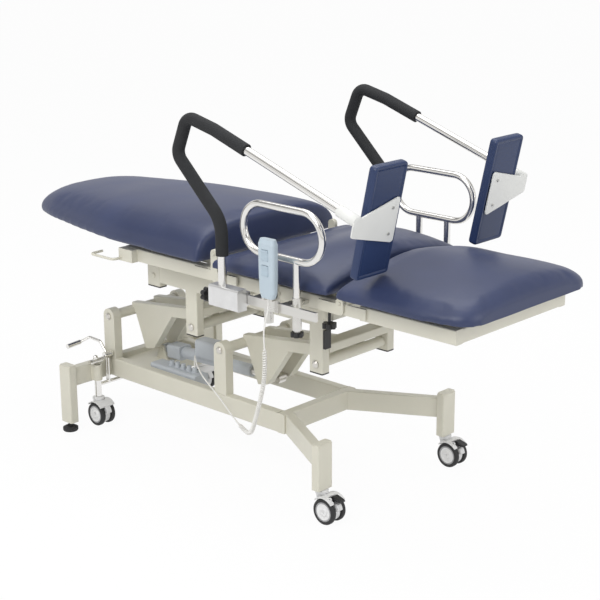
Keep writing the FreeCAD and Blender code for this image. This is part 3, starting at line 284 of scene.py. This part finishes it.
# ---- Pads
# Three moulded foam pads on boards, wrapped in navy vinyl drawn tight and stapled underneath.
# Each starts a little inside its solid and is blown up as cloth, and its seat is kept flat.
vinyl = surface("navy_vinyl", (0.026, 0.038, 0.098), 0.42, mottle=0.10, mottle_size=0.16, grain=0.0011,
                depth=0.00012)
vinyl_shader = vinyl.node_tree.nodes["Principled BSDF"]
vinyl_shader.inputs["Sheen Weight"].default_value = 0.06
vinyl_shader.inputs["Sheen Roughness"].default_value = 0.45
vinyl_shader.inputs["Sheen Tint"].default_value = (0.62, 0.66, 0.82, 1)
pores = vinyl.node_tree.nodes.new("ShaderNodeTexVoronoi")
pores.feature = "DISTANCE_TO_EDGE"
pores.inputs["Scale"].default_value = 700
vinyl.node_tree.links.new(vinyl.node_tree.nodes["Mapping"].outputs[0], pores.inputs["Vector"])
creases = vinyl.node_tree.nodes.new("ShaderNodeBump")
creases.inputs["Strength"].default_value = 0.35
creases.inputs["Distance"].default_value = 0.0001
vinyl.node_tree.links.new(pores.outputs["Distance"], creases.inputs["Height"])
vinyl.node_tree.links.new(vinyl.node_tree.nodes["Bump"].outputs[0], creases.inputs["Normal"])
vinyl.node_tree.links.new(creases.outputs[0], vinyl_shader.inputs["Normal"])
weld = 0.00005
pad_inset, pad_swell, pad_fill = 0.004, 0.007, 0.8
start_gap, seat_gap = 0.0005, 0.0002
pad_pressure, cloth_frames = 4, 20
wrinkle_height, wrinkles_along, wrinkles_up = 0.0008, 9, 14


def new_piece(form, name, *looks):
    """One piece at the origin from a finished form, with its finishes in order."""
    mesh = bpy.data.meshes.new(name)
    form.to_mesh(mesh)
    form.free()
    for look in looks:
        mesh.materials.append(look)
    piece = bpy.data.objects.new(name, mesh)
    scene.collection.objects.link(piece)
    return piece


def cushion(name, source, body, voxel):
    """A pad blown up as cloth inside its solid's box, resting flat on its board."""
    form = bmesh.new()
    form.from_mesh(nodes[source].data)
    bmesh.ops.remove_doubles(form, verts=form.verts, dist=weld)
    bmesh.ops.recalc_face_normals(form, faces=form.faces)
    piece = new_piece(form, name)
    board_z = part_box(source)[0].z
    remesh = piece.modifiers.new("remesh", "REMESH")
    remesh.mode, remesh.voxel_size = "VOXEL", voxel
    shape = plain_mesh(piece)
    piece.modifiers.clear()
    piece.data = shape
    facing = [v.normal.copy() for v in shape.vertices]
    for v, way in zip(shape.vertices, facing):
        v.co -= way * pad_inset
        v.co.z = max(v.co.z, board_z + start_gap)
    start = [v.co.copy() for v in shape.vertices]
    cloth = piece.modifiers.new("cloth", "CLOTH")
    cloth.settings.use_pressure = True
    cloth.settings.uniform_pressure_force = pad_pressure
    cloth.settings.effector_weights.gravity = 0
    cloth.settings.quality = 5
    cloth.point_cache.frame_start, cloth.point_cache.frame_end = 1, cloth_frames
    for number in range(1, cloth_frames + 1):
        scene.frame_set(number)
    blown = plain_mesh(piece)
    piece.modifiers.clear()
    piece.data = blown
    scene.frame_set(1)
    for v, first in zip(piece.data.vertices, start):
        move = v.co - first
        if move.length > pad_swell:
            v.co = first + move * (pad_swell / move.length)
        v.co.z = max(v.co.z, board_z + seat_gap)
    relax = piece.modifiers.new("relax", "SMOOTH")
    relax.factor, relax.iterations = 0.5, 4
    finer = piece.modifiers.new("finer", "SUBSURF")
    finer.levels = finer.render_levels = 1
    piece.data = plain_mesh(piece)
    piece.modifiers.clear()
    facing = [v.normal.copy() for v in piece.data.vertices]
    for v, way in zip(piece.data.vertices, facing):
        wrinkle = noise.noise(Vector((v.co.x * wrinkles_along, v.co.y * wrinkles_along,
                                      v.co.z * wrinkles_up)))
        v.co += way * wrinkle * wrinkle_height
        v.co.z = max(v.co.z, board_z + seat_gap)
    for face in piece.data.polygons:
        face.use_smooth = True
    piece.data.materials.clear()
    piece.data.materials.append(vinyl)
    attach(piece, body)
    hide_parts(source)


cushion("back_cushion", "back_pad", "back_section", 0.009)
cushion("seat_cushion", "seat_pad", "upper_frame", 0.008)
cushion("leg_cushion", "leg_pad", "leg_section", 0.008)

# ---- Bright metal
# Bent stainless and chromed tube: leg holder bars, grip loops, caster plungers, the pedal crank,
# and the flat accessory rail with its brushed grain along the bar.
chrome = surface("chrome", (0.80, 0.79, 0.77), 0.13, 1.0, mottle=0.03, mottle_size=0.05)
dress(both("stirrup_tube", "grip_loop") + ["caster_lift", "lift_pedal"], chrome)
brushed = surface("brushed_steel", (0.68, 0.67, 0.64), 0.28, 1.0, mottle=0.05, mottle_size=0.02, grain=0.0008,
                  stretch=(0.06, 1, 1))
dress(both("side_rail"), brushed)
clamp_alloy = surface("clamp_alloy", (0.74, 0.74, 0.74), 0.3, 0.9, mottle=0.05, mottle_size=0.03,
                      grain=0.0009, depth=0.00008)
dress(both("stirrup_clamp"), clamp_alloy)

# ---- Black fittings
# Moulded star knobs, end caps and brake levers in black nylon, and levelling feet in rubber.
# All are the solids themselves in a fine-grained black finish.
nylon = surface("black_nylon", (0.016, 0.016, 0.017), 0.45, mottle=0.15, mottle_size=0.02, grain=0.0009,
                depth=0.0001)
dress(both("caster_brake", "grip_knob", "stirrup_knob") + ["leg_knob", "upper_caps"], nylon)
foot_rubber = surface("foot_rubber", (0.02, 0.02, 0.021), 0.7, mottle=0.2, mottle_size=0.02, grain=0.001,
                      depth=0.0002)
dress(both("levelling_foot"), foot_rubber)

# ---- Foam sleeves
# Closed-cell foam tube pushed over the bent stretch of each leg holder bar, matte and slightly
# pocked.
sleeve_foam = surface("sleeve_foam", (0.017, 0.018, 0.020), 0.85, mottle=0.25, mottle_size=0.02, grain=0.0014,
                      depth=0.0003)
dress(both("stirrup_foam"), sleeve_foam)

# ---- Leg plates
# Vinyl over a thin pad, turned round a board with rounded corners, and a welt near the edge of
# both faces.  Each plate leans with the bar that carries it.
plate_vinyl = vinyl.copy()
plate_vinyl.name = "plate_vinyl"
plate_tone = plate_vinyl.node_tree.nodes["Color Ramp"].color_ramp
plate_tone.elements[0].color = (0.011, 0.027, 0.088, 1)
plate_tone.elements[1].color = (0.015, 0.034, 0.108, 1)
sides = (("near", -1), ("far", 1))
plate_lean = math.atan2(67, 303)
plate_turn = Matrix.Translation((0.604, 0.0, 0.866)) @ Matrix.Rotation(plate_lean, 4, "Y")
plate_y, plate_width, plate_height = 0.248, 0.128, 0.310
plate_corner, least_corner, corner_steps = 0.012, 0.004, 5
plate_face = [(0.030, 0.0105), (0.016, 0.0105), (0.0125, 0.0092), (0.0105, 0.0116), (0.005, 0.0128),
              (0.0015, 0.0105), (0.0, 0.006)]
plate_profile = plate_face + [(inset, -depth) for inset, depth in reversed(plate_face)]


def bridge(form, one, other):
    """The quads between two closed loops of as many points."""
    count = len(one)
    return [form.faces.new((one[k], one[(k + 1) % count], other[(k + 1) % count], other[k]))
            for k in range(count)]


for side, sign in sides:
    form = bmesh.new()
    rings = []
    for inset, depth in plate_profile:
        ring = []
        half_y, half_z = plate_width / 2 - inset, plate_height / 2 - inset
        r = max(least_corner, plate_corner - inset)
        for quarter, (cy, cz) in enumerate(((1, 1), (-1, 1), (-1, -1), (1, -1))):
            for k in range(corner_steps + 1):
                angle = math.pi / 2 * (quarter + k / corner_steps)
                y = cy * (half_y - r) + r * math.cos(angle)
                z = cz * (half_z - r) + r * math.sin(angle)
                ring.append(form.verts.new(plate_turn @ Vector((depth, sign * plate_y + y, z))))
        rings.append(ring)
    for one, other in zip(rings, rings[1:]):
        bridge(form, one, other)
    form.faces.new(rings[0])
    form.faces.new(list(reversed(rings[-1])))
    bmesh.ops.recalc_face_normals(form, faces=form.faces)
    bmesh.ops.triangulate(form, faces=[f for f in form.faces if len(f.verts) > 4])
    plate = new_piece(form, "plate_cushion_" + side, plate_vinyl)
    finer = plate.modifiers.new("finer", "SUBSURF")
    finer.levels = finer.render_levels = 2
    for face in plate.data.polygons:
        face.use_smooth = True
    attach(plate, "holder_plate_" + side)
    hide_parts("leg_plate_" + side)

# ---- Brackets
# Folded steel painted white: a flange with rounded corners behind each plate, and the sleeve that
# turns on the end of the bar.
bracket_white = surface("bracket_white", (0.76, 0.765, 0.74), 0.38, mottle=0.02, mottle_size=0.1, grain=0.002,
                        depth=0.00005)
flange_inner, flange_outer, flange_bevel = 0.0132, 0.0168, 0.0008
flange_tip_y, flange_tip_half = 0.367, 0.0215
flange_root_y, flange_root_half = 0.197, 0.065
flange_middle_y, flange_round, round_steps = 0.28, 0.009, 6
sleeve_x, sleeve_y, sleeve_z, sleeve_steps = 0.601, 0.352, 0.890, 40
bar_run = Vector((0.483, 0, -0.162)).normalized()
spoke_y, hair = Vector((0, 1, 0)), 0.00001
sleeve = [(-0.0395, 0.0122), (-0.0395, 0.0152), (-0.0388, 0.0159), (0.0232, 0.0159), (0.0239, 0.0150),
          (0.0239, 0.0)]
for side, sign in sides:
    form = bmesh.new()
    corners = [Vector((sign * y, z)) for y, z in (
        (flange_tip_y, flange_tip_half), (flange_tip_y, -flange_tip_half),
        (flange_root_y, -flange_root_half), (flange_root_y, flange_root_half))]
    outline = []
    for k, corner in enumerate(corners):
        into = (corners[k - 1] - corner).normalized()
        out = (corners[(k + 1) % len(corners)] - corner).normalized()
        half = into.angle(out) / 2
        pivot = corner + (into + out).normalized() * (flange_round / math.sin(half))
        start = corner + into * (flange_round / math.tan(half)) - pivot
        sweep = math.pi - 2 * half
        hand = 1 if into.x * out.y - into.y * out.x < 0 else -1
        for step in range(round_steps + 1):
            angle = hand * sweep * step / round_steps
            outline.append(pivot + Vector((start.x * math.cos(angle) - start.y * math.sin(angle),
                                           start.x * math.sin(angle) + start.y * math.cos(angle))))
    layers = []
    for depth, shrink in ((flange_inner, 0.0), (flange_outer - flange_bevel, 0.0),
                          (flange_outer, flange_bevel)):
        layer = []
        for rim_point in outline:
            inward = Vector((sign * flange_middle_y, 0)) - rim_point
            at = rim_point + inward.normalized() * shrink
            layer.append(form.verts.new(plate_turn @ Vector((depth, at.x, at.y))))
        layers.append(layer)
    for one, other in zip(layers, layers[1:]):
        bridge(form, one, other)
    form.faces.new(layers[0])
    form.faces.new(layers[-1])
    tip = Vector((sleeve_x, sign * sleeve_y, sleeve_z))
    over = bar_run.cross(spoke_y)
    loops = []
    for k in range(sleeve_steps):
        angle = 2 * math.pi * k / sleeve_steps
        spoke = spoke_y * math.cos(angle) + over * math.sin(angle)
        loops.append([form.verts.new(tip + bar_run * along + spoke * max(r, hair)) for along, r in sleeve])
    for k in range(sleeve_steps):
        one, other = loops[k], loops[(k + 1) % sleeve_steps]
        for m in range(len(sleeve) - 1):
            form.faces.new((one[m], one[m + 1], other[m + 1], other[m])).smooth = True
    bmesh.ops.recalc_face_normals(form, faces=form.faces)
    bracket = new_piece(form, "bracket_" + side, bracket_white)
    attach(bracket, "holder_plate_" + side)
    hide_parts("leg_bracket_" + side)

# ---- Screws
# Steel pan heads with a square recess, one on each point of a plain mesh: two through each bracket
# and six up into each pad's board from below.
head_taper, recess_width = 0.72, 0.36
bracket_screw_y, bracket_screw_z, bracket_screw_lift = 0.222, 0.036, 0.0009
bracket_head_radius, bracket_head_height = 0.0042, 0.0022
pad_screw_y, pad_screw_z = 0.225, 0.5831
pad_head_radius, pad_head_height = 0.006, 0.0024
pad_screw_rows = (("back_section", (-0.37, -0.235, -0.075)), ("upper_frame", (0.045, 0.150, 0.300)),
                  ("leg_section", (0.565, 0.685, 0.82)))
screw_tree = bpy.data.node_groups.new("pan_heads", "GeometryNodeTree")
for label, kind in (("Points", "NodeSocketGeometry"), ("Head radius", "NodeSocketFloat"),
                    ("Head height", "NodeSocketFloat"), ("Facing", "NodeSocketVector"),
                    ("Finish", "NodeSocketMaterial")):
    screw_tree.interface.new_socket(label, in_out="INPUT", socket_type=kind)
screw_tree.interface.new_socket("Screws", in_out="OUTPUT", socket_type="NodeSocketGeometry")
given = screw_tree.nodes.new("NodeGroupInput")
made = screw_tree.nodes.new("NodeGroupOutput")
head = screw_tree.nodes.new("GeometryNodeMeshCone")
head.inputs["Vertices"].default_value = 28
head.inputs["Side Segments"].default_value = 1
rim = screw_tree.nodes.new("ShaderNodeMath")
rim.operation = "MULTIPLY"
rim.inputs[1].default_value = head_taper
recess = screw_tree.nodes.new("GeometryNodeMeshCylinder")
recess.inputs["Vertices"].default_value = 4
hollow = screw_tree.nodes.new("ShaderNodeMath")
hollow.operation = "MULTIPLY"
hollow.inputs[1].default_value = recess_width
socket_cut = screw_tree.nodes.new("GeometryNodeMeshBoolean")
socket_cut.operation = "DIFFERENCE"
lift = screw_tree.nodes.new("GeometryNodeTransform")
raise_by = screw_tree.nodes.new("ShaderNodeCombineXYZ")
turn_to = screw_tree.nodes.new("FunctionNodeAlignEulerToVector")
turn_to.axis = "Z"
spread = screw_tree.nodes.new("GeometryNodeInstanceOnPoints")
solid = screw_tree.nodes.new("GeometryNodeRealizeInstances")
coat = screw_tree.nodes.new("GeometryNodeSetMaterial")
wire = screw_tree.links.new
wire(given.outputs["Head radius"], head.inputs["Radius Bottom"])
wire(given.outputs["Head radius"], rim.inputs[0])
wire(rim.outputs[0], head.inputs["Radius Top"])
wire(given.outputs["Head height"], head.inputs["Depth"])
wire(given.outputs["Head radius"], hollow.inputs[0])
wire(hollow.outputs[0], recess.inputs["Radius"])
wire(given.outputs["Head height"], recess.inputs["Depth"])
wire(given.outputs["Head height"], raise_by.inputs["Z"])
wire(raise_by.outputs[0], lift.inputs["Translation"])
wire(recess.outputs["Mesh"], lift.inputs["Geometry"])
wire(head.outputs["Mesh"], socket_cut.inputs["Mesh 1"])
wire(lift.outputs["Geometry"], socket_cut.inputs["Mesh 2"])
wire(given.outputs["Points"], spread.inputs["Points"])
wire(socket_cut.outputs["Mesh"], spread.inputs["Instance"])
wire(given.outputs["Facing"], turn_to.inputs["Vector"])
wire(turn_to.outputs["Rotation"], spread.inputs["Rotation"])
wire(spread.outputs["Instances"], solid.inputs["Geometry"])
wire(solid.outputs["Geometry"], coat.inputs["Geometry"])
wire(given.outputs["Finish"], coat.inputs["Material"])
wire(coat.outputs["Geometry"], made.inputs["Screws"])


def screws(name, body, spots, facing, head_radius, head_height, finish):
    """Pan-head screws of one body, standing on their spots."""
    mesh = bpy.data.meshes.new(name)
    mesh.from_pydata([tuple(place) for place in spots], [], [])
    piece = bpy.data.objects.new(name, mesh)
    scene.collection.objects.link(piece)
    maker = piece.modifiers.new("pan_heads", "NODES")
    maker.node_group = screw_tree
    keys = {socket.name: socket.identifier for socket in screw_tree.interface.items_tree
            if socket.in_out == "INPUT"}
    maker[keys["Head radius"]] = head_radius
    maker[keys["Head height"]] = head_height
    maker[keys["Facing"]] = tuple(facing)
    maker[keys["Finish"]] = finish
    piece.data = plain_mesh(piece)
    piece.modifiers.clear()
    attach(piece, body)


screw_steel = surface("screw_steel", (0.52, 0.52, 0.50), 0.35, 1.0, mottle=0.06, mottle_size=0.004)
for side, sign in sides:
    spots = [plate_turn @ Vector((flange_outer + bracket_screw_lift, sign * bracket_screw_y, z))
             for z in (-bracket_screw_z, bracket_screw_z)]
    screws("bracket_screws_" + side, "holder_plate_" + side, spots, plate_turn.to_3x3() @ Vector((1, 0, 0)),
           bracket_head_radius, bracket_head_height, screw_steel)
for body, stations in pad_screw_rows:
    spots = [Vector((x, y, pad_screw_z)) for x in stations for y in (-pad_screw_y, pad_screw_y)]
    screws("pad_screws_" + body, body, spots, (0, 0, -1), pad_head_radius, pad_head_height, bolt_steel)

# ---- Control box and lift actuator
# Moulded grey housings hung in the base: the box with its row of plugs, and the motor that drives
# the ram.
grey_shell = surface("grey_shell", (0.50, 0.53, 0.56), 0.45, mottle=0.04, mottle_size=0.05, grain=0.0012,
                     depth=0.0001)
dress(["control_box", "actuator_housing"], grey_shell)

# ---- Handset
# A moulded shell in pale blue grey, hung on its hook by the near rail, with two rocker keys hardly
# darker than the shell.
shell_blue = surface("handset_blue", (0.47, 0.555, 0.62), 0.38, mottle=0.02, mottle_size=0.06, grain=0.0011,
                     depth=0.00008)
dress(["handset"], shell_blue)
key_blue = surface("key_blue", (0.41, 0.50, 0.57), 0.42, mottle=0.02, mottle_size=0.05)
dress(["rocker_height", "rocker_back"], key_blue)

# ---- Casters
# Twin wheels, each a pale nylon disc in a black tread, under a white moulded hood with its stem.
hood_white = surface("hood_white", (0.72, 0.72, 0.72), 0.35, mottle=0.03, mottle_size=0.03, grain=0.001,
                     depth=0.00006)
dress(both("caster_housing", "lifted_housing"), hood_white)
tread = surface("tread_rubber", (0.018, 0.018, 0.019), 0.6, mottle=0.2, mottle_size=0.015, grain=0.0008,
                depth=0.0001)
disc_white = surface("disc_white", (0.80, 0.80, 0.80), 0.38, mottle=0.03, mottle_size=0.02, grain=0.001,
                     depth=0.00005)
ring_grey = surface("ring_grey", (0.34, 0.34, 0.35), 0.45, mottle=0.04, mottle_size=0.02, grain=0.001,
                    depth=0.00005)
wheel_steps = 72
tread_faces, ring_faces = range(1, 9), (0, 9, 10, 11)
for kind, body in (("caster", "roll_"), ("lifted", "lifted_roll_")):
    for side, _ in sides:
        node = kind + "_wheels_" + side
        low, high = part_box(node)
        hub = (low + high) / 2
        radius = (high.z - low.z) / 2
        form = bmesh.new()
        outline = [(0.0115, 0.0042), (0.0115, 0.028), (0.0118, radius - 0.0030), (0.0135, radius - 0.0010),
                   (0.0160, radius - 0.0001), (0.0230, radius - 0.0001), (0.0255, radius - 0.0012),
                   (0.0272, radius - 0.0040), (0.0274, radius - 0.0085), (0.0262, radius - 0.0098),
                   (0.0262, radius - 0.0104), (0.0270, radius - 0.0115), (0.0262, radius - 0.0140),
                   (0.0240, radius - 0.0180), (0.0236, 0.0145), (0.0246, 0.0125), (0.0266, 0.0115),
                   (0.0272, 0.0095), (0.0272, 0.0042)]
        for way in (-1, 1):
            loops = []
            for k in range(wheel_steps):
                angle = 2 * math.pi * k / wheel_steps
                loops.append([form.verts.new((hub.x + r * math.cos(angle), hub.y + way * w,
                                              hub.z + r * math.sin(angle))) for w, r in outline])
            for one, other in zip(loops, loops[1:] + loops[:1]):
                for m, face in enumerate(bridge(form, one, other)):
                    face.material_index = 0 if m in tread_faces else 2 if m in ring_faces else 1
                    face.smooth = True
        bmesh.ops.recalc_face_normals(form, faces=form.faces)
        wheels = new_piece(form, kind + "_twin_" + side, tread, disc_white, ring_grey)
        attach(wheels, body + side)
        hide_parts(node)
